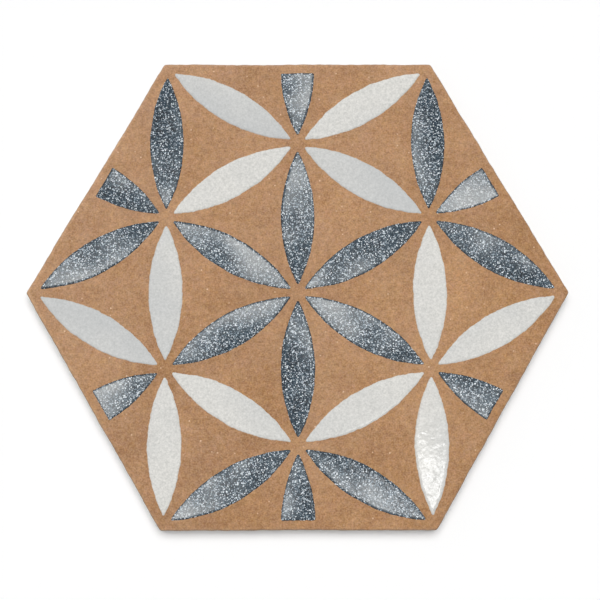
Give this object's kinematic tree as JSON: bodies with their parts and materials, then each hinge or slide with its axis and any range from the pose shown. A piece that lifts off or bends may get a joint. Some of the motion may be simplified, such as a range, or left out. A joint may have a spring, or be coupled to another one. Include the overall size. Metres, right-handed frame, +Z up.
{
  "type": "hexagon floor tile",
  "caption": "Flat hexagonal floor tile of fired clay, with raised speckled dark and pale glaze petals on its face and a honeycomb key on its back.",
  "frame": {"origin": "middle of the back, on the bedding plane", "axes": "+Z up through the glazed face; +X towards one corner, so two sides are parallel to X"},
  "size_m": [0.2496, 0.2166, 0.0094],
  "materials": {
    "fired_clay": "matt, fine sandy grain",
    "dark_glaze": "glossy, slate blue with dense white speckle",
    "pale_glaze": "satin gloss, warm off-white"
  },
  "bodies": {
    "root": {"hexagon_tile": "fired_clay"}
  },
  "joints": []
}
